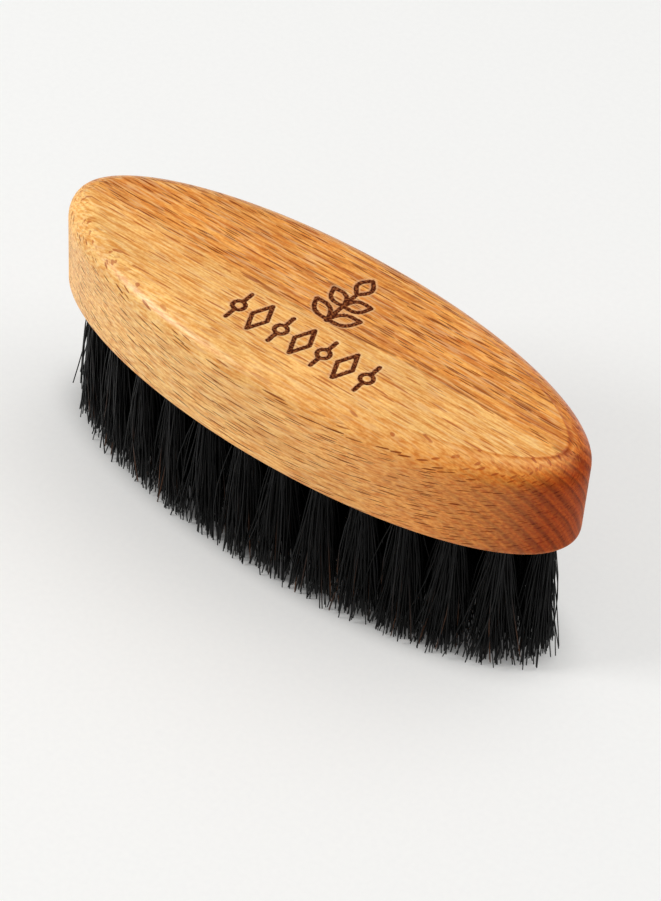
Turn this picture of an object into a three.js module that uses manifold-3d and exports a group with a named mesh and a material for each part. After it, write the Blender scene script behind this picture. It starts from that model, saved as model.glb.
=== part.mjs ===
// Pocket beard brush: an oval hardwood back with bristle tufts set in blind holes.
// Units are millimetres, +Z is up. The origin is on the surface that the brush stands on,
// under the middle of the oval. +X runs along the brush.

import * as THREE from "three";
import { mergeVertices } from "three/addons/utils/BufferGeometryUtils.js";
import Module from "manifold-3d";

const wasm = await Module();
wasm.setup();

// Wooden back
const BACK_LENGTH = 110;
const BACK_WIDTH = 39.8;
const BACK_THICKNESS = 19.1;
const TOP_EDGE_INSET = 4.2;
const TOP_EDGE_DROP = 4.6;
const OUTLINE_STEPS = 96;
const TOP_EDGE_STEPS = 7;

// Bristles and the holes that hold them
const BRISTLE_LENGTH = 30.6;
const HOLE_DIAMETER = 3.8;
const HOLE_DEPTH = 11;
const HOLE_SIDES = 12;
const TUFT_GAP = 0.3;
const TUFT_SIDES = 10;
const FAN_STEPS = 4;
const FAN_SHAPE = 1.6;
const WIDEST_TUFT_RADIUS = 3.9;

// Tufts stand in two oval rings and one row along the middle. A tuft leans outwards: its
// trimmed end is leanX further out than its hole at the end of the oval, and leanY further
// out at its side.
const TUFT_GROUPS = [
  { name: "outer_tuft", count: 26, halfLength: 49.4, halfWidth: 14.3, leanX: 1.5, leanY: 0.4 },
  { name: "inner_tuft", count: 20, halfLength: 41.2, halfWidth: 7.2, leanX: 0.8, leanY: 0.2 },
];
const MIDDLE_ROW = { name: "middle_tuft", count: 8, pitch: 8.2 };

const ARC_LENGTH_DIVISIONS = 2000;

const WOOD = { color: 0xd99a5b, roughness: 0.45, metalness: 0 };
const BRISTLE = { color: 0x14120f, roughness: 0.55, metalness: 0 };

function solidFrom(geometry) {
  const bare = geometry.index ? geometry.toNonIndexed() : geometry.clone();
  bare.deleteAttribute("normal");
  bare.deleteAttribute("uv");
  const merged = mergeVertices(bare, 1e-4);
  const mesh = new wasm.Mesh({
    numProp: 3,
    vertProperties: new Float32Array(merged.attributes.position.array),
    triVerts: new Uint32Array(merged.index.array),
  });
  return new wasm.Manifold(mesh);
}

function geometryFrom(solid) {
  const mesh = solid.getMesh();
  const geometry = new THREE.BufferGeometry();
  geometry.setAttribute("position", new THREE.BufferAttribute(mesh.vertProperties, 3));
  geometry.setIndex(new THREE.BufferAttribute(mesh.triVerts, 1));
  geometry.computeVertexNormals();
  return geometry;
}

// Holes spaced evenly by distance along an oval, the first one at its +X end.
function tuftsOnOval({ name, count, halfLength, halfWidth, leanX, leanY }) {
  const oval = new THREE.EllipseCurve(0, 0, halfLength, halfWidth, 0, 2 * Math.PI);
  oval.arcLengthDivisions = ARC_LENGTH_DIVISIONS;
  const tufts = [];
  for (let i = 0; i < count; i += 1) {
    const hole = oval.getPointAt(i / count);
    const lean = new THREE.Vector2((leanX * hole.x) / halfLength, (leanY * hole.y) / halfWidth);
    tufts.push({ name: `${name}_${String(i + 1).padStart(2, "0")}`, hole, lean });
  }
  return tufts;
}

function tuftsInRow({ name, count, pitch }) {
  const tufts = [];
  for (let i = 0; i < count; i += 1) {
    const hole = new THREE.Vector2((i - (count - 1) / 2) * pitch, 0);
    tufts.push({ name: `${name}_${String(i + 1).padStart(2, "0")}`, hole, lean: new THREE.Vector2() });
  }
  return tufts;
}

// A tuft fans out until it almost meets its nearest neighbour.
function trimmedRadius(tuft, tufts) {
  const end = tuft.hole.clone().add(tuft.lean);
  const distances = tufts
    .filter((other) => other !== tuft)
    .map((other) => other.hole.clone().add(other.lean).distanceTo(end));
  return Math.min(WIDEST_TUFT_RADIUS, (Math.min(...distances) - TUFT_GAP) / 2);
}

// Leans an upright round shape along its tuft, keeping every level section level, and
// moves it to its hole. The tuft's line passes through the hole's centre at the wood's face.
function placeOnTuft(geometry, { hole, lean }) {
  const slopeX = -lean.x / BRISTLE_LENGTH;
  const slopeY = -lean.y / BRISTLE_LENGTH;
  const leaning = new THREE.Matrix4().set(
    1, 0, slopeX, hole.x - slopeX * BRISTLE_LENGTH,
    0, 1, slopeY, hole.y - slopeY * BRISTLE_LENGTH,
    0, 0, 1, 0,
    0, 0, 0, 1,
  );
  return geometry.applyMatrix4(leaning);
}

function drill(tuft) {
  const overshoot = 2;
  const length = HOLE_DEPTH + overshoot;
  const cylinder = new THREE.CylinderGeometry(HOLE_DIAMETER / 2, HOLE_DIAMETER / 2, length, HOLE_SIDES);
  cylinder.rotateX(Math.PI / 2);
  cylinder.translate(0, 0, BRISTLE_LENGTH + HOLE_DEPTH - length / 2);
  return solidFrom(placeOnTuft(cylinder, tuft));
}

// Oval slab with its top edge rounded over and its underside cut flat.
function brushBack(tufts) {
  const outline = new THREE.Shape();
  outline.absellipse(0, 0, BACK_LENGTH / 2, BACK_WIDTH / 2, 0, 2 * Math.PI);
  const slab = new THREE.ExtrudeGeometry(outline, {
    depth: BACK_THICKNESS - TOP_EDGE_DROP,
    curveSegments: OUTLINE_STEPS,
    bevelEnabled: true,
    bevelThickness: TOP_EDGE_DROP,
    bevelSize: TOP_EDGE_INSET,
    bevelOffset: -TOP_EDGE_INSET,
    bevelSegments: TOP_EDGE_STEPS,
  });
  slab.translate(0, 0, BRISTLE_LENGTH);

  const waste = new THREE.BoxGeometry(2 * BACK_LENGTH, 2 * BACK_WIDTH, BRISTLE_LENGTH);
  waste.translate(0, 0, BRISTLE_LENGTH / 2);

  let back = solidFrom(slab).subtract(solidFrom(waste));
  for (const tuft of tufts) {
    back = back.subtract(drill(tuft));
  }
  return new THREE.Mesh(geometryFrom(back), new THREE.MeshStandardMaterial(WOOD));
}

// A tuft is straight inside its hole, then fans out to its trimmed end.
function bristleTuft(tuft, tufts) {
  const rootRadius = HOLE_DIAMETER / 2 - TUFT_GAP;
  const endRadius = trimmedRadius(tuft, tufts);
  const innerEnd = BRISTLE_LENGTH + HOLE_DEPTH - TUFT_GAP;

  const profile = [new THREE.Vector2(0, 0)];
  for (let i = 0; i <= FAN_STEPS; i += 1) {
    const height = i / FAN_STEPS;
    const radius = rootRadius + (endRadius - rootRadius) * (1 - height) ** FAN_SHAPE;
    profile.push(new THREE.Vector2(radius, height * BRISTLE_LENGTH));
  }
  profile.push(new THREE.Vector2(rootRadius, innerEnd), new THREE.Vector2(0, innerEnd));

  const fan = new THREE.LatheGeometry(profile, TUFT_SIDES);
  fan.rotateX(Math.PI / 2);
  return new THREE.Mesh(placeOnTuft(fan, tuft), new THREE.MeshStandardMaterial(BRISTLE));
}

const tufts = [...TUFT_GROUPS.flatMap(tuftsOnOval), ...tuftsInRow(MIDDLE_ROW)];

const brush = new THREE.Group();
const back = brushBack(tufts);
back.name = "brush_back";
brush.add(back);
for (const tuft of tufts) {
  const mesh = bristleTuft(tuft, tufts);
  mesh.name = tuft.name;
  brush.add(mesh);
}

export default brush;
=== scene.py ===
"""Oval pocket beard brush: an oiled beech back with a burnt ornament, and tufts of black bristle.

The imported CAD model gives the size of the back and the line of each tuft. Here the back gets
its fine surface and its wood, each tuft becomes separate bristles, and wire anchors sit in the
bottoms of the holes.
Everything is in metres; +X runs along the brush and +Z points up.
"""

import math

import bpy
import numpy as np
from mathutils import Matrix, Vector
from mathutils.geometry import delaunay_2d_cdt


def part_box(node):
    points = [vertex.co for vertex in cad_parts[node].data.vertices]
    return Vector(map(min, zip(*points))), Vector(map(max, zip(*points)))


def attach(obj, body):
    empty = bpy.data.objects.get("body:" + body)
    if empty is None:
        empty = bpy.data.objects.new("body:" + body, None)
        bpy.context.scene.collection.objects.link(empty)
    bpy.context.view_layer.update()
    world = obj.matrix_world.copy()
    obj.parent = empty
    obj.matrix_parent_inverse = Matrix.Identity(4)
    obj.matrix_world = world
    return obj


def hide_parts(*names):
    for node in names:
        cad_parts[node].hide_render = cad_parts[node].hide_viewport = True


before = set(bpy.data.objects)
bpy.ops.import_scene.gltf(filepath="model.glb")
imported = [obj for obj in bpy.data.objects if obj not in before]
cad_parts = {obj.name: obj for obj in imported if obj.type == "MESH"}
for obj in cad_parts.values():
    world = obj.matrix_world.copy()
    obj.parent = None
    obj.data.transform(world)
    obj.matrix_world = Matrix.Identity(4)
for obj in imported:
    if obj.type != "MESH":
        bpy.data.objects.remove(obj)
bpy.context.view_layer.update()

MM = 0.001

# The back: its box is read from the CAD model, the other sizes repeat those of its source
BACK_LOW, BACK_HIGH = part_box("brush_back")
HALF_LENGTH = BACK_HIGH.x
HALF_WIDTH = BACK_HIGH.y
FACE_HEIGHT = BACK_LOW.z
TOP_HEIGHT = BACK_HIGH.z
TOP_EDGE_INSET = 4.2 * MM
TOP_EDGE_DROP = 4.6 * MM
HOLE_RADIUS = 1.9 * MM
HOLE_DEPTH = 11 * MM

# Fine surface of the back
TOP_EDGE_SWEEP = math.radians(80)
TOP_EDGE_STEPS = 10
SHOULDER_DEPTH = 0.11 * MM
SHOULDER_WIDTH = 0.06 * MM
SHOULDER_START = 8 * MM
SHOULDER_RISE = 30 * MM
LOWER_EDGE_RADIUS = 0.5 * MM
LOWER_EDGE_STEPS = 4
WALL_STEPS = 8
HOLE_SIDES = 24
MOUTH_CHAMFER = 0.12 * MM
DRILL_POINT = 0.8 * MM

# Burnt ornament; the last two are in millimetres, as the burn attribute is
BURN_WIDTH = 0.86 * MM
BURN_DEPTH = 0.13 * MM
BURN_SLOPE = 0.3
FAR_FROM_BURN = 9.0

# Oval of floor under the brush that gives little light of its own: painted shade
SHADED_HALF_LENGTH = 50 * MM
SHADED_HALF_WIDTH = 16.5 * MM

# Bristles
BRISTLES_PER_TUFT = 150
BRISTLE_SIDES = 5
BRISTLE_ROOT_RADIUS = 0.135 * MM
BRISTLE_TIP_RADIUS = 0.115 * MM
LOCKS_PER_TUFT = 9
LOCK_SPREAD = 1.15 * MM
BRISTLE_SPREAD = 0.95 * MM
STRAY_SPREAD = 2.6 * MM
STRAY_SHARE = 0.13
TUFT_SPREAD = 1.15
FAN_POWER = 1.3
BOW = 0.8 * MM
WAVE = 0.10 * MM
TRIMMED_HALF_LENGTH = 53.6 * MM
TRIMMED_HALF_WIDTH = 17.4 * MM
TRIM_RAGGEDNESS = 0.06
STRAY_REACH = 1.02
SHORTNESS = 0.72 * MM
MOST_SHORT = 4 * MM
LEAST_SHORT = 0.03 * MM
FLUSH_SHARE = 0.10
FLUSH_SHORT = 0.05 * MM
ROOT_CLEARANCE = 0.2 * MM
THICKNESS_SPREAD = 0.12
GOLDEN_ANGLE = math.radians(137.508)

# Wire anchors
ANCHOR_INSET = 2.2 * MM
ANCHOR_GAP = 0.15 * MM
ANCHOR_THICKNESS = 0.25 * MM
ANCHOR_HEIGHT = 1.1 * MM
ANCHOR_SAG = 0.5 * MM


# ---------------------------------------------------------------- camera, floor and light

def direction(azimuth, elevation):
    """Unit vector from the brush: azimuth 0 points along -Y and 90 along +X."""
    a = math.radians(azimuth)
    e = math.radians(elevation)
    return Vector((math.sin(a) * math.cos(e), -math.cos(a) * math.cos(e), math.sin(e)))


def make_camera(azimuth, elevation, distance, roll, lens):
    """Looks down from the front right at a point right of and in front of the back's middle."""
    target = Vector((10.57 * MM, -9.67 * MM, FACE_HEIGHT))
    back = direction(azimuth, elevation)
    level = (-back).cross(Vector((0, 0, 1))).normalized()
    upright = level.cross(-back)
    turn = math.radians(roll)
    right = level * math.cos(turn) + upright * math.sin(turn)
    up = upright * math.cos(turn) - level * math.sin(turn)
    data = bpy.data.cameras.new("camera")
    data.lens = lens
    data.sensor_width = 36
    data.clip_start = 0.01
    data.clip_end = 20
    camera = bpy.data.objects.new("camera", data)
    axes = Matrix((right, up, back)).transposed().to_4x4()
    camera.matrix_world = Matrix.Translation(target + back * distance) @ axes
    bpy.context.scene.collection.objects.link(camera)
    bpy.context.scene.camera = camera


def softbox(name, azimuth, elevation, distance, size, watts):
    """A square white studio light that faces the middle of the brush's footprint."""
    data = bpy.data.lights.new(name, "AREA")
    data.shape = "SQUARE"
    data.size = size
    data.energy = watts
    light = bpy.data.objects.new(name, data)
    towards = direction(azimuth, elevation)
    light.location = towards * distance
    light.rotation_euler = towards.to_track_quat("Z", "Y").to_euler()
    bpy.context.scene.collection.objects.link(light)


def make_studio():
    """Plain pale floor under soft light and an even surround.

    Seen from the camera, a small key light stands low on the left, a broad light high on the
    right and a little behind, and a weak rim light low on the right.
    """
    floor_mesh = bpy.data.meshes.new("floor")
    reach = 2.0
    corners = [(-reach, -reach, 0), (reach, -reach, 0), (reach, reach, 0), (-reach, reach, 0)]
    floor_mesh.from_pydata(corners, [], [(0, 1, 2, 3)])
    floor = bpy.data.objects.new("floor", floor_mesh)
    floor.data.materials.append(floor_paper())
    bpy.context.scene.collection.objects.link(floor)

    world = bpy.data.worlds.new("studio")
    bpy.context.scene.world = world
    world.use_nodes = True
    surround = world.node_tree.nodes["Background"]
    surround.inputs["Color"].default_value = (1.0, 1.0, 1.0, 1)
    surround.inputs["Strength"].default_value = 0.38
    softbox("key_light", azimuth=-50, elevation=30, distance=0.9, size=0.24, watts=3.8)
    softbox("back_light", azimuth=140, elevation=68, distance=1.2, size=1.2, watts=6.2)
    softbox("rim_light", azimuth=108, elevation=25, distance=0.9, size=0.4, watts=0.9)
    bpy.context.scene.view_settings.view_transform = "Standard"


# ---------------------------------------------------------------- shader helpers

def colour(code):
    """Linear colour of a six-digit sRGB code."""
    parts = [int(code[i:i + 2], 16) / 255 for i in (0, 2, 4)]
    return (*[c / 12.92 if c <= 0.04045 else ((c + 0.055) / 1.055) ** 2.4 for c in parts], 1.0)


class Shading:
    """Adds nodes to one tree. An input given as a socket is linked, any other value is typed in."""

    def __init__(self, tree):
        self.tree = tree

    def add(self, kind, inputs, **settings):
        node = self.tree.nodes.new("ShaderNode" + kind)
        for key, value in settings.items():
            setattr(node, key, value)
        for key, value in inputs.items():
            if isinstance(value, bpy.types.NodeSocket):
                self.tree.links.new(value, node.inputs[key])
            else:
                node.inputs[key].default_value = value
        return node

    def math(self, operation, *values):
        return self.add("Math", dict(enumerate(values)), operation=operation).outputs[0]

    def scaled(self, vector, factors):
        made = self.add("VectorMath", {0: vector, 1: factors}, operation="MULTIPLY")
        return made.outputs[0]

    def shifted(self, vector, offset):
        return self.add("VectorMath", {0: vector, 1: offset}, operation="ADD").outputs[0]

    def noise(self, vector, factors, detail=0.0):
        """Noise that is stretched along each axis by one over its factor."""
        inputs = {"Vector": self.scaled(vector, factors), "Scale": 1.0, "Detail": detail}
        return self.add("TexNoise", inputs).outputs["Fac"]

    def ramp(self, value, low, high, start=0.0, end=1.0):
        """Smooth step from start, at low and below, to end, at high and above."""
        inputs = {"Value": value, "From Min": low, "From Max": high, "To Min": start, "To Max": end}
        return self.add("MapRange", inputs, interpolation_type="SMOOTHSTEP").outputs["Result"]

    def mix(self, factor, first, second, blend="MIX"):
        inputs = {0: factor, 6: first, 7: second}
        return self.add("Mix", inputs, data_type="RGBA", blend_type=blend).outputs[2]

    def grained(self, value, tint, depth):
        """The colour, turned golden brown where the value is low and cream where it is high."""
        low = [1 - depth * share for share in (0.25, 0.75, 1.30)]
        high = [1 + depth * share for share in (0.35, 0.60, 0.80)]
        dark = self.mix(1.0, tint, (*low, 1), "MULTIPLY")
        pale = self.mix(1.0, tint, (*high, 1), "MULTIPLY")
        return self.mix(self.ramp(value, 0.3, 0.7), dark, pale)

    def brighten(self, value, tint):
        """The colour times a value."""
        grey = self.add("CombineColor", {0: value, 1: value, 2: value}).outputs[0]
        return self.mix(1.0, tint, grey, "MULTIPLY")

    def stained(self, amount, tint, stain):
        """The colour, and where the amount is 1 the colour times the stain."""
        return self.mix(amount, tint, self.mix(1.0, tint, (*stain, 1), "MULTIPLY"))

    def link(self, value, target):
        self.tree.links.new(value, target)


def new_group(name, inputs, outputs):
    """An empty node group with sockets, and its input and output nodes."""
    tree = bpy.data.node_groups.new(name, "ShaderNodeTree")
    for label, kind in inputs:
        tree.interface.new_socket(label, in_out="INPUT", socket_type="NodeSocket" + kind)
    for label, kind in outputs:
        tree.interface.new_socket(label, in_out="OUTPUT", socket_type="NodeSocket" + kind)
    return tree, tree.nodes.new("NodeGroupInput"), tree.nodes.new("NodeGroupOutput")


def new_material(name):
    """A material with its tree's helper and its Principled shader."""
    material = bpy.data.materials.new(name)
    material.use_nodes = True
    return material, Shading(material.node_tree), material.node_tree.nodes["Principled BSDF"]


# ---------------------------------------------------------------- materials

# Beech: lengths in millimetres
RING_TILT = math.radians(28)
RING_PITCH = 1.8
FINE_RING_PITCH = 0.75
FAR_ZONE_EDGE = 22.5
FAR_ZONE_EDGE_WAVES = 2.2
GRAIN_WANDER = 1.4
ARRIS_HEIGHTS = (31.6, 30.9)

NEAR_ZONE_TONE = "f5c074"
FAR_ZONE_TONE = "f2ac58"
STREAK = "b8622a"
LATE_WOOD = "a65a22"
PALE_FIBRE = "ffdfa8"
VESSEL = "7a3002"
SEAM = "7c3a14"
RAY_ON_TOP = "b55a22"
RAY_IN_FAR_ZONE = "8a4214"
RAY_ON_WALL = "702a00"
END_EARLY_WOOD = "c98044"
END_LATE_WOOD = "7c3a14"
WORN_ARRIS = "d98a52"
OIL_AND_PAINTED_SHADE = (0.90, 0.54, 0.22)
DEEP_OIL_AND_PAINTED_SHADE = (0.72, 0.42, 0.28)

CHAR = "4a1a06"
CHAR_SPECK = "8f5029"
SCORCH_HALO = "f6cf9c"


def scattered_lenses(g, grain, offset, cell, size):
    """Lens-shaped bodies, one in every cell: cell and half sizes in millimetres.

    A body is where the distance to its cell's point, over the half sizes, is below about 1. Its
    strength is chosen by the cell's random colour.
    """
    in_cells = g.scaled(g.shifted(grain, offset), [1 / c for c in cell])
    nearest = g.add("TexVoronoi", {"Vector": in_cells, "Scale": 1.0})
    gap = g.add("VectorMath", {0: in_cells, 1: nearest.outputs["Position"]}, operation="SUBTRACT")
    in_sizes = g.scaled(gap.outputs[0], [c / half for c, half in zip(cell, size)])
    reach = g.add("VectorMath", {0: in_sizes}, operation="LENGTH").outputs["Value"]
    chance = g.add("SeparateXYZ", {0: nearest.outputs["Color"]}).outputs[0]
    return g.ramp(reach, 1.05, 0.80, 0, g.ramp(chance, 0.1, 0.5, 0.35, 1.0))


def beech_group():
    """Beech in three dimensions, from the place in the block in metres and the way it faces.

    The place is turned about X so that its second part runs across the growth rings and its
    third along them. Rays are thin plates across the rings, fibres and vessels run along X,
    and the wood beyond one ring is darker and redder. Wood that faces +X has soaked up more
    oil and carries painted shade as well, being turned from the key light, and the side wall
    carries painted shade. Gloss falls in open pores, in the rays of the wall and on the ends.
    """
    tree, source, out = new_group(
        "beech",
        [("Place", "Vector"), ("Normal", "Vector")],
        [("Color", "Color"), ("Roughness", "Float"), ("Gloss", "Float"), ("Height", "Float")],
    )
    g = Shading(tree)
    place = g.scaled(source.outputs["Place"], (1000, 1000, 1000))
    spot = g.add("SeparateXYZ", {0: place})
    turned = g.add("Mapping", {"Vector": place, "Rotation": (-RING_TILT, 0, 0)}).outputs[0]
    slow = g.scaled(place, (0.015, 0.05, 0.05))
    drift = g.add("TexNoise", {"Vector": slow, "Scale": 1.0, "Detail": 2.0}).outputs["Color"]
    wander = g.scaled(g.shifted(drift, (-0.5, -0.5, -0.5)), (0, GRAIN_WANDER, GRAIN_WANDER))
    grain = g.shifted(turned, wander)
    across_rings = g.add("SeparateXYZ", {0: grain}).outputs[1]

    ring_noise = g.noise(grain, (0.008, 0.22, 0.02), detail=1.0)
    ring = g.math("FRACT", g.math("ADD", g.math("DIVIDE", across_rings, RING_PITCH), ring_noise))
    late_wood = g.math("MULTIPLY", g.ramp(ring, 0.25, 0.75), g.ramp(ring, 1.0, 0.78))
    fine_ring = g.math("PINGPONG", g.math("DIVIDE", across_rings, FINE_RING_PITCH), 0.5)

    edge_noise = g.math("SUBTRACT", g.noise(grain, (0.05, 0.2, 0.1), detail=2.0), 0.5)
    from_edge = g.math("SUBTRACT", across_rings, FAR_ZONE_EDGE)
    from_edge = g.math("MULTIPLY_ADD", edge_noise, FAR_ZONE_EDGE_WAVES, from_edge)
    sharpness = g.ramp(spot.outputs[0], -30, 25, 0.45, 2.2)
    far_zone = g.ramp(g.math("MULTIPLY", from_edge, sharpness), -1.0, 1.0)
    seam_gap = g.math("ABSOLUTE", g.math("SUBTRACT", from_edge, 0.25))
    seam_breaks = g.ramp(g.noise(grain, (0.16, 0.1, 0.1), detail=1.0), 0.42, 0.56)
    seam = g.math("MULTIPLY", g.ramp(seam_gap, 0.32, 0.08), seam_breaks)
    seam = g.math("MULTIPLY", seam, g.ramp(spot.outputs[0], -45, 10, 0.35, 1.0))

    fibres = g.noise(grain, (0.24, 2.5, 2.5), detail=2.0)
    pale_fibres = g.ramp(g.noise(g.shifted(grain, (3, 9, 4)), (0.22, 2.6, 2.6)), 0.55, 0.68)
    fluff = g.noise(place, (1.6, 2.6, 2.6), detail=1.5)
    streaks = g.noise(grain, (0.06, 1.3, 1.3), detail=3.0)
    cloud = g.noise(place, (0.06, 0.14, 0.14), detail=2.0)
    rays = g.math("MAXIMUM",
                  scattered_lenses(g, grain, (0, 0, 0), (6.0, 1.5, 1.05), (2.8, 0.62, 0.10)),
                  scattered_lenses(g, grain, (3.1, 1.3, 0.6), (5.0, 1.3, 1.00), (1.9, 0.52, 0.08)))
    vessels = g.math("MAXIMUM",
                     scattered_lenses(g, grain, (1, 2, 3), (7.0, 0.80, 0.80), (3.0, 0.12, 0.16)),
                     scattered_lenses(g, grain, (5, 7, 9), (4.5, 0.70, 0.70), (1.6, 0.10, 0.14)))

    facing = g.add("SeparateXYZ", {0: source.outputs["Normal"]})
    along_x, along_y, along_z = facing.outputs
    on_side = g.ramp(g.math("ABSOLUTE", along_z), 0.80, 0.30)
    on_end = g.ramp(g.math("ABSOLUTE", along_x), 0.30, 0.90)

    # The block: a darker, redder far zone, streaks, rings, fibres and vessels
    tone = g.mix(far_zone, colour(NEAR_ZONE_TONE), colour(FAR_ZONE_TONE))
    streak_depth = g.math("MULTIPLY_ADD", far_zone, 0.50, 0.16)
    streaks = g.math("MULTIPLY", g.ramp(streaks, 0.45, 0.70), streak_depth)
    tone = g.mix(streaks, tone, colour(STREAK))
    ring_depth = g.math("MULTIPLY_ADD", far_zone, 0.22, 0.06)
    tone = g.mix(g.math("MULTIPLY", late_wood, ring_depth), tone, colour(LATE_WOOD))
    tone = g.brighten(g.ramp(cloud, 0.3, 0.7, 0.94, 1.06), tone)
    tone = g.grained(fibres, tone, 0.44)
    tone = g.grained(fluff, tone, 0.16)
    tone = g.mix(g.math("MULTIPLY", pale_fibres, 0.30), tone, colour(PALE_FIBRE))
    vessel_depth = g.math("MULTIPLY_ADD", far_zone, 0.62, 0.22)
    vessel_depth = g.math("MULTIPLY", vessel_depth, g.ramp(on_side, 0, 1, 1.0, 0.2))
    vessel_marks = g.math("MULTIPLY", vessels, vessel_depth)
    tone = g.mix(vessel_marks, tone, colour(VESSEL))
    tone = g.mix(g.math("MULTIPLY", seam, 0.6), tone, colour(SEAM))

    # Rays: brown flecks on top, darker ones on the wall
    ray_tint = g.mix(far_zone, colour(RAY_ON_TOP), colour(RAY_IN_FAR_ZONE))
    ray_tint = g.mix(on_side, ray_tint, colour(RAY_ON_WALL))
    ray_depth = g.ramp(on_side, 0, 1, 0.72, 0.92)
    tone = g.mix(g.math("MULTIPLY", rays, ray_depth), tone, ray_tint)

    # The +X end: rings cut across, oil, and painted shade on the wall and on faces turned from the
    # key light
    end_tone = g.mix(late_wood, colour(END_EARLY_WOOD), colour(END_LATE_WOOD))
    end_tone = g.grained(fibres, end_tone, 0.4)
    banded = g.ramp(along_x, 0.10, 0.75)
    tone = g.mix(g.math("MULTIPLY", banded, 0.65), tone, end_tone)
    lines = g.ramp(fine_ring, 0.0, 0.5, 0.88, 1.06)
    tone = g.mix(g.ramp(along_x, 0.15, 0.5), tone, g.brighten(lines, tone))
    # Painted shade: the side wall is made a little darker than the top
    tone = g.brighten(g.ramp(on_side, 0, 1, 1.0, 0.91), tone)
    # Partly oil soaked into the end grain, partly painted shade: faces turned towards +X, away from
    # the key light, are stained darker and more orange
    tone = g.stained(g.ramp(along_x, -0.15, 0.46), tone, OIL_AND_PAINTED_SHADE)
    # Deep oil on the end faces with painted shade: weaker on faces towards +Y, which the back and
    # rim lights reach
    less_painted_shade_behind = g.ramp(along_y, 0.6, -0.05, 0.35, 1.0)
    deep_oil_and_painted_shade = g.math("MULTIPLY", g.ramp(along_x, 0.38, 0.78), less_painted_shade_behind)
    tone = g.stained(deep_oil_and_painted_shade, tone, DEEP_OIL_AND_PAINTED_SHADE)

    # Worn lower edge
    arris = g.ramp(spot.outputs[2], *ARRIS_HEIGHTS)
    arris = g.math("MULTIPLY", arris, g.ramp(fluff, 0.35, 0.6, 0.3, 0.8))
    tone = g.mix(g.math("MULTIPLY", arris, 0.5), tone, colour(WORN_ARRIS))

    g.link(tone, out.inputs["Color"])
    satin = g.math("MULTIPLY_ADD", fibres, 0.18, 0.27)
    g.link(g.math("MULTIPLY_ADD", on_end, 0.22, satin), out.inputs["Roughness"])
    open_grain = g.math("MAXIMUM", g.math("MULTIPLY", rays, on_side), vessel_marks)
    closed = g.math("SUBTRACT", 1.0, open_grain)
    g.link(g.math("MULTIPLY", closed, g.ramp(on_end, 0, 1, 1.0, 0.2)), out.inputs["Gloss"])
    pits = g.math("MULTIPLY", g.math("MAXIMUM", rays, vessels), 0.25)
    g.link(g.math("SUBTRACT", g.math("MULTIPLY", fibres, 0.6), pits), out.inputs["Height"])
    return tree


def oiled_beech():
    """Oiled beech, with the ornament burnt dark brown where the burn attribute is negative.

    The oil's gloss is a thin coat, which the burnt wood and the open pores lack.
    """
    material, g, shader = new_material("oiled_beech")
    place = g.add("TexCoord", {}).outputs["Object"]
    normal = g.add("TexCoord", {}).outputs["Normal"]
    wood = g.add("Group", {}, node_tree=beech_group())
    g.link(place, wood.inputs["Place"])
    g.link(normal, wood.inputs["Normal"])

    burn = g.add("Attribute", {}, attribute_name="burn").outputs["Fac"]
    scorch_noise = g.noise(place, (1800, 4200, 4200), detail=2.0)
    edge = g.math("ADD", burn, g.math("MULTIPLY", g.math("SUBTRACT", scorch_noise, 0.5), 0.30))
    burnt = g.ramp(edge, 0.07, -0.07)
    halo = g.math("MULTIPLY", g.ramp(burn, 0.50, 0.15), 0.35)
    speck = g.ramp(g.noise(place, (2300, 2300, 2300), detail=1.0), 0.44, 0.64)
    char = g.mix(speck, colour(CHAR), colour(CHAR_SPECK))
    tone = g.mix(halo, wood.outputs["Color"], colour(SCORCH_HALO))
    tone = g.mix(burnt, tone, char)
    g.link(tone, shader.inputs["Base Color"])

    rough = g.mix(burnt, wood.outputs["Roughness"], (0.7, 0.7, 0.7, 1))
    g.link(rough, shader.inputs["Roughness"])
    bump = g.add("Bump", {"Height": wood.outputs["Height"], "Distance": 0.06 * MM, "Strength": 0.6})
    g.link(bump.outputs[0], shader.inputs["Normal"])
    gloss = g.math("MULTIPLY", g.math("SUBTRACT", 1.0, burnt), wood.outputs["Gloss"])
    g.link(g.math("MULTIPLY", gloss, 0.42), shader.inputs["Coat Weight"])
    shader.inputs["Coat Roughness"].default_value = 0.29
    shader.inputs["Specular IOR Level"].default_value = 0.06
    return material


def dyed_bristle():
    """Black hair: each bristle has its own tone, and a few turn brown towards their tips."""
    material, g, shader = new_material("dyed_bristle")
    tone = g.add("Attribute", {}, attribute_name="tone").outputs["Fac"]
    along = g.add("Attribute", {}, attribute_name="along").outputs["Fac"]
    place = g.add("TexCoord", {}).outputs["Object"]
    mottle = g.noise(place, (2600, 2600, 500), detail=1.0)
    black = g.mix(g.math("POWER", tone, 2.5), colour("010101"), colour("171718"))
    brown = g.math("MULTIPLY", g.ramp(tone, 0.94, 0.98), g.ramp(along, 0.45, 1.0))
    hair = g.mix(brown, black, colour("5a3a26"))
    hair = g.brighten(g.ramp(mottle, 0.3, 0.7, 0.75, 1.3), hair)
    g.link(hair, shader.inputs["Base Color"])
    g.link(g.math("MULTIPLY_ADD", mottle, 0.25, 0.22), shader.inputs["Roughness"])
    shader.inputs["Specular IOR Level"].default_value = 0.12
    return material


def drawn_wire():
    """Bright drawn wire with fine lines along its length."""
    material, g, shader = new_material("drawn_wire")
    place = g.add("TexCoord", {}).outputs["Object"]
    lines = g.noise(place, (900, 9000, 900), detail=2.0)
    g.link(g.mix(lines, colour("8f8a80"), colour("c9c5bb")), shader.inputs["Base Color"])
    g.link(g.math("MULTIPLY_ADD", lines, 0.3, 0.25), shader.inputs["Roughness"])
    shader.inputs["Metallic"].default_value = 1.0
    return material


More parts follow.
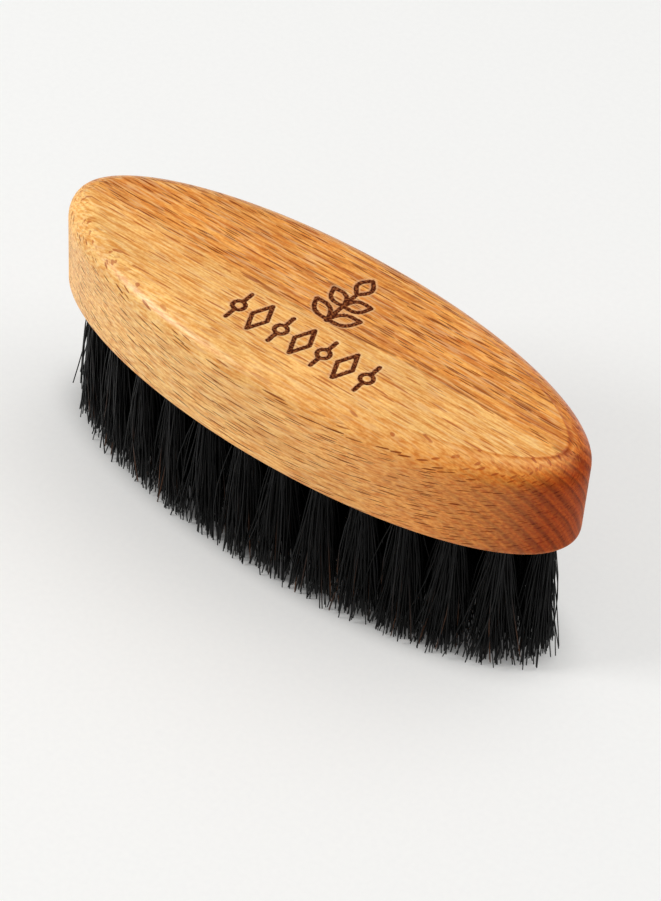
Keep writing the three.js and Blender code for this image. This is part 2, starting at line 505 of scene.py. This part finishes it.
def floor_paper():
    """Matt white paper with a barely visible tooth that glows evenly like a light table, lightening
    the shadows on it; in an oval under the brush the glow fades, as painted shade.
    """
    material, g, shader = new_material("floor_paper")
    place = g.add("TexCoord", {}).outputs["Object"]
    tooth = g.noise(place, (900, 900, 900), detail=2.0)
    g.link(g.mix(tooth, colour("c8c8c7"), colour("cececc")), shader.inputs["Base Color"])
    oval_place = g.scaled(place, (1 / SHADED_HALF_LENGTH, 1 / SHADED_HALF_WIDTH, 0))
    from_middle = g.add("VectorMath", {0: oval_place}, operation="LENGTH").outputs["Value"]
    # Painted shade: the floor's glow fades to little in an oval under the brush
    glow_with_painted_shade = g.mix(g.ramp(from_middle, 0.85, 1.25), (0.1, 0.1, 0.1, 1), (1.0, 1.0, 0.985, 1))
    g.link(glow_with_painted_shade, shader.inputs["Emission Color"])
    shader.inputs["Emission Strength"].default_value = 0.345
    shader.inputs["Roughness"].default_value = 0.8
    shader.inputs["Specular IOR Level"].default_value = 0.2
    return material


# ---------------------------------------------------------------- mesh helpers

def new_piece(name, points, faces, material):
    """A smooth-shaded mesh object that rides on the brush."""
    mesh = bpy.data.meshes.new(name)
    mesh.from_pydata(points.tolist(), [], faces)
    mesh.shade_smooth()
    mesh.materials.append(material)
    piece = bpy.data.objects.new(name, mesh)
    bpy.context.scene.collection.objects.link(piece)
    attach(piece, "root")
    return piece


def point_values(piece, name, values):
    """Stores one number for each point of a piece."""
    layer = piece.data.attributes.new(name, "FLOAT", "POINT")
    layer.data.foreach_set("value", np.asarray(values, dtype=np.float32))


def tuft_line(node):
    """Where a CAD tuft leaves the wood, where its trimmed end is, and half that end's width."""
    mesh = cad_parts[node].data
    points = np.empty(len(mesh.vertices) * 3)
    mesh.vertices.foreach_get("co", points)
    points = points.reshape(-1, 3)
    trimmed = points[points[:, 2] < 0.1 * MM]
    inner = points[points[:, 2] > points[:, 2].max() - 0.1 * MM]
    end = (trimmed.min(0) + trimmed.max(0)) / 2
    top = (inner.min(0) + inner.max(0)) / 2
    root = end + (top - end) * FACE_HEIGHT / top[2]
    return root, end, np.ptp(trimmed[:, 0]) / 2


TUFTS = {name: tuft_line(name) for name in sorted(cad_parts) if "tuft" in name}


# ---------------------------------------------------------------- burnt ornament

def circle_outline(centre, radius):
    """Points round a closed circle: centre + radius (cos a, sin a)."""
    angle = np.radians(np.linspace(0, 360, 14))
    return np.stack([np.cos(angle), np.sin(angle)], 1) * radius + np.asarray(centre)


def leaf(foot, length, width, heading):
    """Outline of a pointed leaf: y = ±(width/2) sin(πx/length) from its foot to its tip."""
    along = np.linspace(0, 1, 12)
    bulge = width / 2 * np.sin(np.pi * along)
    side = np.stack([along * length, bulge], 1)
    outline = np.concatenate([side, (side * (1, -1))[-2::-1]])
    turn = np.radians(heading)
    spin = np.array([[math.cos(turn), math.sin(turn)], [-math.sin(turn), math.cos(turn)]])
    return outline @ spin + np.asarray(foot)


def ornament_strokes():
    """Centre lines of the ornament in millimetres.

    A sprig of leaves stands over a band of lozenges and ringed bars.
    """
    sprig = np.array((1.6, -1.0))
    stem = 8.6
    strokes = [np.stack([sprig, sprig + (0, stem)])]
    for height, length in ((0.4, 5.6), (4.8, 4.8)):
        for heading in (33, 147):
            strokes.append(leaf(sprig + (0, height), length, 2.7, heading))
    strokes.append(leaf(sprig + (0, stem), 4.6, 2.9, 90))

    middle = -7.9
    low = middle - 3.6
    high = middle + 3.6
    lozenge = 1.6
    ring = 1.15
    bar_end = 1.2
    for step in range(-3, 4):
        x = 1.8 + step * 4.6
        if step % 2 == 0:
            corners = [(x, low), (x + lozenge, middle), (x, high), (x - lozenge, middle), (x, low)]
            strokes.append(np.array(corners))
        else:
            strokes.append(np.array([(x, low), (x, middle - bar_end)]))
            strokes.append(circle_outline((x, middle), ring))
            strokes.append(np.array([(x, middle + bar_end), (x, high)]))
    return strokes


def burn_distance(x, y):
    """Millimetres from each place on the top to the nearest burnt stroke, negative inside it."""
    places = np.stack([x, y], 1) / MM
    nearest = np.full(len(places), FAR_FROM_BURN)
    for stroke in ornament_strokes():
        for start, end in zip(stroke[:-1], stroke[1:]):
            step = end - start
            share = np.clip((places - start) @ step / (step @ step), 0, 1)
            gap = places - start - share[:, None] * step
            nearest = np.minimum(nearest, np.hypot(gap[:, 0], gap[:, 1]))
    return nearest - BURN_WIDTH / MM / 2


# ---------------------------------------------------------------- wooden back

def oval(angle, inset):
    """A point on the outline's ellipse at each angle, moved inwards along the normal by inset."""
    c = np.cos(angle)
    s = np.sin(angle)
    normal = np.stack([HALF_WIDTH * c, HALF_LENGTH * s], -1)
    normal /= np.linalg.norm(normal, axis=-1, keepdims=True)
    return np.stack([HALF_LENGTH * c, HALF_WIDTH * s], -1) - normal * inset


def disc_grid():
    """A square grid bent into a round disc: (u, v) goes to (u√(1−v²/2), v√(1−u²/2)).

    The columns are closest where the ornament is. Returns the disc's radius and angle at each
    grid point, the grid's point numbers, and the point numbers round its rim.
    """
    u = np.concatenate([
        np.linspace(-1, -0.32, 54, endpoint=False),
        np.linspace(-0.32, 0.40, 180, endpoint=False),
        np.linspace(0.40, 1, 49),
    ])
    v = np.linspace(-1, 1, 157)
    uu, vv = np.meshgrid(u, v)
    x = uu * np.sqrt(1 - vv ** 2 / 2)
    y = vv * np.sqrt(1 - uu ** 2 / 2)
    number = np.arange(uu.size).reshape(uu.shape)
    rim = np.concatenate([number[0, :-1], number[:-1, -1], number[-1, :0:-1], number[:0:-1, 0]])
    return np.hypot(x, y).ravel(), np.arctan2(y, x).ravel(), number, rim


def quads(rows):
    """Faces between neighbouring rows of point numbers; each row runs round and closes."""
    faces = []
    for above, below in zip(rows[:-1], rows[1:]):
        faces += np.stack([above, below, np.roll(below, -1), np.roll(above, -1)], 1).tolist()
    return faces


def back_profile(angle):
    """Inset and height down the back's side: top edge, wall and lower edge, at each angle.

    The top edge is part of an ellipse that stops short of level, so a faint crease is left
    where it meets the flat top. Towards the +X end the cutter ran deeper and left a shoulder,
    which grows along x as t²(3 - 2t).
    """
    share = np.clip((HALF_LENGTH * np.cos(angle) - SHOULDER_START) / SHOULDER_RISE, 0, 1)
    shoulder = SHOULDER_DEPTH * share * share * (3 - 2 * share)
    sweep = np.linspace(TOP_EDGE_SWEEP, 0, TOP_EDGE_STEPS)
    inset = (1 - np.cos(sweep)) / (1 - math.cos(TOP_EDGE_SWEEP)) * (TOP_EDGE_INSET - SHOULDER_WIDTH)
    fallen = 1 - np.sin(sweep) / math.sin(TOP_EDGE_SWEEP)
    edge = TOP_HEIGHT - shoulder - (TOP_EDGE_DROP - shoulder) * fallen[:, None]
    wall_foot = FACE_HEIGHT + LOWER_EDGE_RADIUS
    wall = np.linspace(TOP_HEIGHT - TOP_EDGE_DROP, wall_foot, WALL_STEPS + 1)[1:]
    turn = np.radians(np.linspace(0, 90, LOWER_EDGE_STEPS + 1))[1:]
    lower = np.concatenate([wall, wall_foot - LOWER_EDGE_RADIUS * np.sin(turn)])
    lower_inset = LOWER_EDGE_RADIUS * (1 - np.cos(turn))
    return (np.concatenate([inset, np.zeros(len(wall)), lower_inset]),
            np.concatenate([edge, np.repeat(lower[:, None], len(angle), axis=1)]))


def hole_rings():
    """Rows of points down each drilled hole: chamfered mouth, wall and drill point.

    A hole leans as its tuft does, so a ring's centre moves along the tuft's line.
    """
    angle = np.linspace(0, 2 * np.pi, HOLE_SIDES, endpoint=False)
    circle = np.stack([np.cos(angle), np.sin(angle)], 1)
    levels = [(HOLE_RADIUS + MOUTH_CHAMFER, 0), (HOLE_RADIUS, MOUTH_CHAMFER),
              (HOLE_RADIUS, HOLE_DEPTH - DRILL_POINT), (HOLE_RADIUS * 0.05, HOLE_DEPTH)]
    holes = []
    for root, end, _ in TUFTS.values():
        slope = (root - end)[:2] / FACE_HEIGHT
        rings = []
        for radius, depth in levels:
            centre = root[:2] + slope * depth
            ring = centre + circle * radius
            rings.append(np.column_stack([ring, np.full(HOLE_SIDES, FACE_HEIGHT + depth)]))
        holes.append(rings)
    return holes


def wooden_back(material):
    """The whole block as one closed skin: top grid, side rings, drilled underside."""
    radius, angle, number, rim = disc_grid()
    top = oval(angle, TOP_EDGE_INSET) * radius[:, None]
    burn = burn_distance(top[:, 0], top[:, 1])
    sunk = BURN_DEPTH * np.clip(0.5 - burn / BURN_SLOPE, 0, 1)
    points = [np.column_stack([top, TOP_HEIGHT - sunk])]
    faces = np.stack([number[:-1, :-1], number[:-1, 1:], number[1:, 1:], number[1:, :-1]], -1)
    faces = faces.reshape(-1, 4).tolist()

    count = len(top)
    rows = [rim]
    for inset, height in zip(*back_profile(angle[rim])):
        points.append(np.column_stack([oval(angle[rim], inset), height]))
        rows.append(np.arange(count, count + len(rim)))
        count += len(rim)
    faces += quads(rows)

    loops = [rows[-1]]
    for rings in hole_rings():
        hole_rows = []
        for ring in rings:
            points.append(ring)
            hole_rows.append(np.arange(count, count + HOLE_SIDES))
            count += HOLE_SIDES
        faces += quads([row[::-1] for row in hole_rows])
        faces.append(hole_rows[-1].tolist())
        loops.append(hole_rows[0])
    points = np.concatenate(points)
    upright = len(faces)
    faces += underside(points, loops)

    piece = new_piece("wooden_back", points, faces, material)
    smooth = np.ones(len(faces), dtype=bool)
    smooth[upright:] = False
    piece.data.polygons.foreach_set("use_smooth", smooth)
    point_values(piece, "burn", np.concatenate([burn, np.full(count - len(top), FAR_FROM_BURN)]))
    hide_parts("brush_back")


def underside(points, loops):
    """Triangles of the flat underside, between its rim and the mouths of the holes."""
    index = np.concatenate(loops)
    flat = [Vector(p) for p in points[index, :2]]
    edges = []
    first = 0
    for loop in loops:
        run = np.arange(first, first + len(loop))
        edges += np.stack([run, np.roll(run, -1)], 1).tolist()
        first += len(loop)
    _, _, triangles, origin, _, _ = delaunay_2d_cdt(flat, edges, [], 2, 1e-9)
    return [[int(index[origin[i][0]]) for i in reversed(face)] for face in triangles]


# ---------------------------------------------------------------- bristles and anchors

def tube_faces(rings, sides, count):
    """Faces of many capped tubes at once: walls between rings, and a cap at each end."""
    ring = np.arange(rings - 1)[:, None] * sides
    side = np.arange(sides)[None, :]
    after = (side + 1) % sides
    wall = np.stack([ring + side, ring + after, ring + sides + after, ring + sides + side], -1)
    wall = wall.reshape(-1, 4)
    tube = np.arange(count)[:, None, None] * rings * sides
    walls = (wall[None] + tube).reshape(-1, 4).tolist()
    near = np.arange(sides)[::-1]
    far = np.arange(sides) + (rings - 1) * sides
    caps = np.concatenate([near + tube[:, 0], far + tube[:, 0]]).tolist()
    return walls + caps


def bristle_tuft(node, material, seed):
    """One tuft. Bristles fill the hole in a sunflower spiral and fan out below the wood.

    At a share s of its length a bristle stands at start + (end - start) s^1.3, plus a bow of
    sin(πs) and a wave of s·sin(9s + a). The ends of one lock move together, and nearly all the
    ends stay inside the oval that the whole brush was trimmed to. A negative s is in the hole.
    """
    root, end, end_radius = TUFTS[node]
    rng = np.random.default_rng(seed)
    count = BRISTLES_PER_TUFT
    spiral = np.arange(count) + 0.5
    turn = spiral * GOLDEN_ANGLE
    place = np.stack([np.cos(turn), np.sin(turn)], 1) * np.sqrt(spiral / count)[:, None]
    start = place * (HOLE_RADIUS - ROOT_CLEARANCE)

    lock = rng.integers(0, LOCKS_PER_TUFT, count)
    lock_shift = rng.normal(0, LOCK_SPREAD, (LOCKS_PER_TUFT, 2))[lock]
    stray = rng.random(count) < STRAY_SHARE
    jitter = rng.normal(0, 1, (count, 2)) * np.where(stray, STRAY_SPREAD, BRISTLE_SPREAD)[:, None]
    finish = end[:2] + place * end_radius * TUFT_SPREAD + lock_shift + jitter
    reach = np.hypot(finish[:, 0] / TRIMMED_HALF_LENGTH, finish[:, 1] / TRIMMED_HALF_WIDTH)
    allowed = np.where(stray, STRAY_REACH, 1.0 - TRIM_RAGGEDNESS * rng.random(count))
    finish *= np.minimum(1, allowed / reach)[:, None]
    finish -= root[:2]

    short = rng.gamma(2.0, SHORTNESS, count)
    short = np.where(rng.random(count) < FLUSH_SHARE, FLUSH_SHORT, short)
    length = FACE_HEIGHT - np.clip(short, LEAST_SHORT, MOST_SHORT)

    share = np.array([-0.22, 0.0, 0.15, 0.32, 0.50, 0.68, 0.85, 1.0])
    below = np.clip(share, 0, 1)
    fan = below ** FAN_POWER
    heading = rng.uniform(0, 2 * np.pi, count)
    bow = np.stack([np.cos(heading), np.sin(heading)], 1) * rng.normal(0, BOW, count)[:, None]
    lift = np.sin(np.pi * below)
    wave = np.sin(below * 9 + rng.uniform(0, 6, count)[:, None]) * WAVE * below
    sideways = np.stack([np.sin(heading), -np.cos(heading)], 1)

    level = start[:, None] + (finish - start)[:, None] * fan[None, :, None]
    level = level + bow[:, None] * lift[None, :, None] + sideways[:, None] * wave[..., None]
    slope = (root - end)[:2] / FACE_HEIGHT
    inside = np.clip(-share, 0, 1)[None, :, None] * FACE_HEIGHT
    level = level + slope * inside + root[:2]
    height = FACE_HEIGHT - share[None, :] * length[:, None]

    thickness = rng.normal(1, THICKNESS_SPREAD, count)[:, None]
    radius = (BRISTLE_ROOT_RADIUS + (BRISTLE_TIP_RADIUS - BRISTLE_ROOT_RADIUS) * below) * thickness
    corner = np.linspace(0, 2 * np.pi, BRISTLE_SIDES, endpoint=False)
    ring = np.stack([np.cos(corner), np.sin(corner)], 1)
    section = level[:, :, None] + radius[..., None, None] * ring
    points = np.empty((count, len(share), BRISTLE_SIDES, 3))
    points[..., :2] = section
    points[..., 2] = height[..., None]
    faces = tube_faces(len(share), BRISTLE_SIDES, count)
    faces = [face[::-1] for face in faces]

    piece = new_piece(node + "_bristles", points.reshape(-1, 3), faces, material)
    tone = np.repeat(rng.random(count), len(share) * BRISTLE_SIDES)
    along = np.tile(np.repeat(below, BRISTLE_SIDES), count)
    point_values(piece, "tone", tone)
    point_values(piece, "along", along)
    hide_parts(node)


def wire_anchors(material):
    """A flat strip of wire across the bottom of every hole, past the bristles' inner ends.

    Each strip is a rectangle swept along x from -w to w, with its middle at z = -sag (1 - (x/w)²).
    """
    half_width = HOLE_RADIUS - ANCHOR_GAP
    across = np.linspace(-1, 1, 9)
    corner = np.radians([45, 135, 225, 315])
    sides = (np.cos(corner) * ANCHOR_THICKNESS, np.sin(corner) * ANCHOR_HEIGHT)
    section = np.stack(sides, 1) / math.sqrt(2)
    strip = np.empty((len(across), len(corner), 3))
    strip[..., 0] = across[:, None] * half_width
    strip[..., 1] = section[:, 0]
    strip[..., 2] = section[:, 1] - ANCHOR_SAG * (1 - across[:, None] ** 2)
    strips = []
    for root, end, _ in TUFTS.values():
        slope = (root - end)[:2] / FACE_HEIGHT
        depth = HOLE_DEPTH - ANCHOR_INSET
        centre = np.append(root[:2] + slope * depth, FACE_HEIGHT + depth)
        strips.append(strip + centre)
    points = np.stack(strips)
    faces = tube_faces(len(across), len(corner), len(strips))
    new_piece("wire_anchors", points.reshape(-1, 3), faces, material)


# ---------------------------------------------------------------- the brush

make_camera(azimuth=34.74, elevation=45.04, distance=0.5315, roll=4.40, lens=123.24)
make_studio()
wooden_back(oiled_beech())
bristle = dyed_bristle()
for seed, node in enumerate(TUFTS):
    bristle_tuft(node, bristle, seed)
wire_anchors(drawn_wire())
